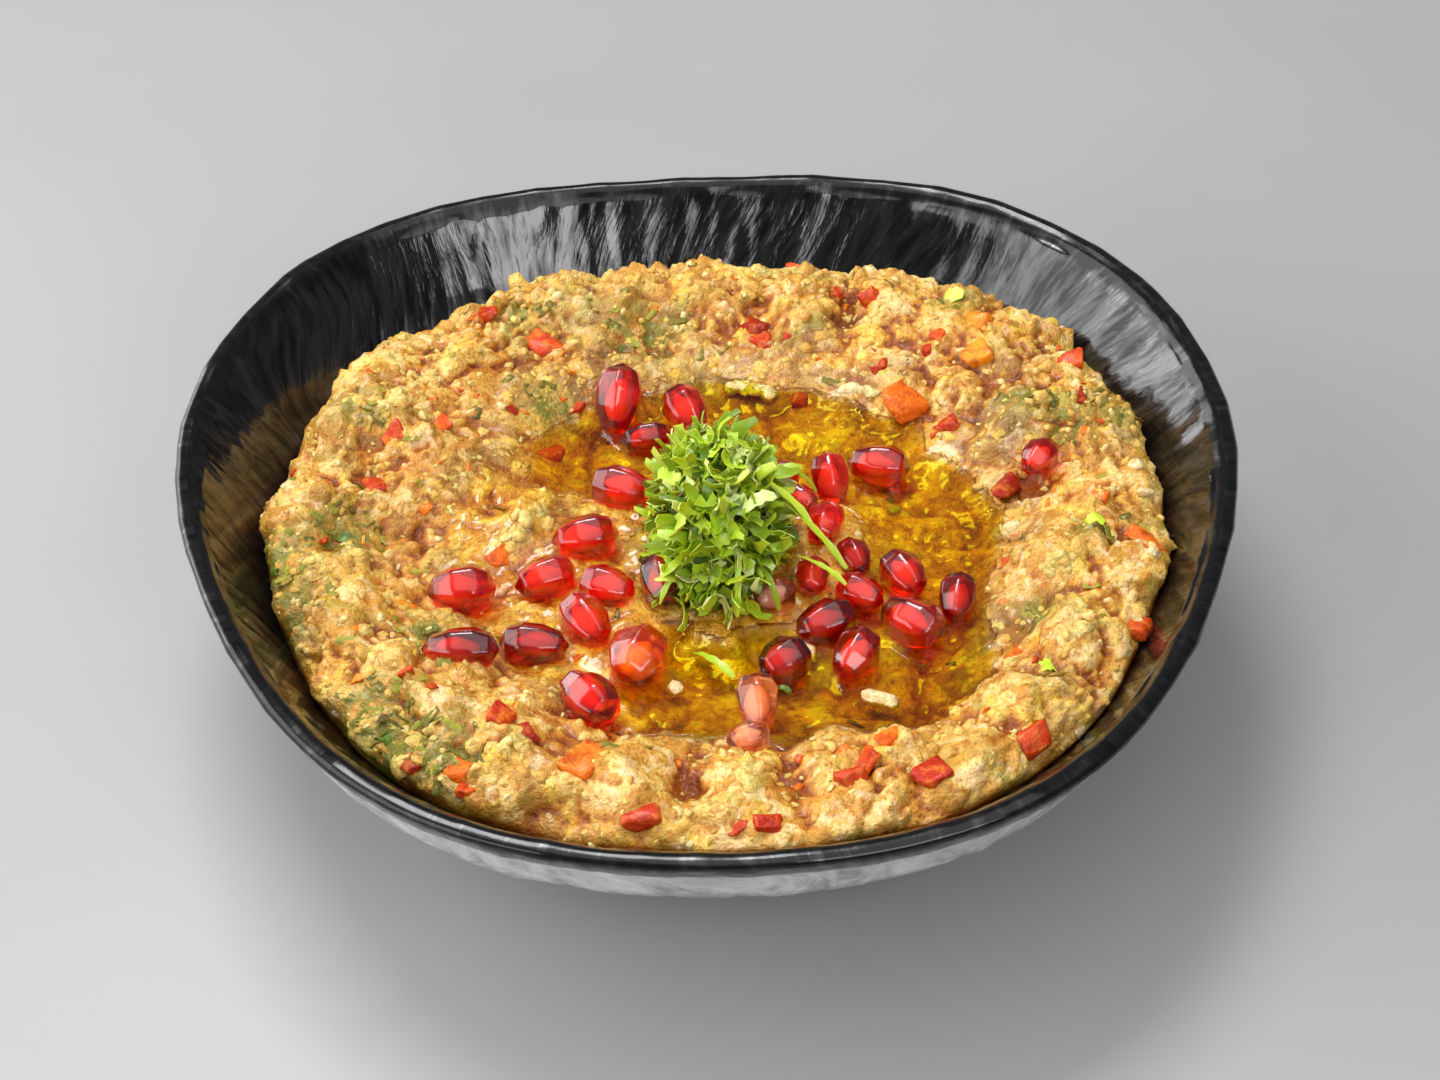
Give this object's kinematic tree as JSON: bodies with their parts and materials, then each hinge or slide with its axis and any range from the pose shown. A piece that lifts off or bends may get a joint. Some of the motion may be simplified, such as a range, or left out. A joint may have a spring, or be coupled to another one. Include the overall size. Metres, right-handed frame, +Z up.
{
  "type": "baba ganoush in a black bowl",
  "caption": "Smoked aubergine dip in a glossy black hand-formed bowl, with a pool of olive oil, pomegranate arils and a heap of chopped parsley.",
  "frame": {"origin": "middle of the bounding box at the bottom of the bowl's foot, on the surface it stands on", "axes": "+Z up out of the bowl; -Y towards the diner, who sees the pool open to the right; +X to the diner's right"},
  "size_m": [0.1882, 0.187, 0.0575],
  "materials": {
    "black_glaze": "glossy, hammered",
    "aubergine_dip": "moist and lumpy",
    "olive_oil": "clear liquid",
    "parsley_leaf": "fresh chopped leaf",
    "pomegranate_gel": "clear wet gel"
  },
  "bodies": {
    "root": {"bowl": "black_glaze", "baba_ganoush": "aubergine_dip", "olive_oil": "olive_oil", "parsley_heap": "parsley_leaf", "aril_01": "pomegranate_gel", "aril_02": "pomegranate_gel", "aril_03": "pomegranate_gel", "aril_04": "pomegranate_gel", "aril_05": "pomegranate_gel", "aril_06": "pomegranate_gel", "aril_07": "pomegranate_gel", "aril_08": "pomegranate_gel", "aril_09": "pomegranate_gel", "aril_10": "pomegranate_gel", "aril_11": "pomegranate_gel", "aril_12": "pomegranate_gel", "aril_13": "pomegranate_gel", "aril_14": "pomegranate_gel", "aril_15": "pomegranate_gel", "aril_16": "pomegranate_gel", "aril_17": "pomegranate_gel", "aril_18": "pomegranate_gel", "aril_19": "pomegranate_gel", "aril_20": "pomegranate_gel", "aril_21": "pomegranate_gel", "aril_22": "pomegranate_gel", "aril_23": "pomegranate_gel", "aril_24": "pomegranate_gel", "aril_25": "pomegranate_gel", "aril_26": "pomegranate_gel", "aril_27": "pomegranate_gel", "aril_28": "pomegranate_gel", "aril_29": "pomegranate_gel", "aril_30": "pomegranate_gel", "aril_31": "pomegranate_gel", "aril_32": "pomegranate_gel", "aril_33": "pomegranate_gel"}
  },
  "joints": []
}
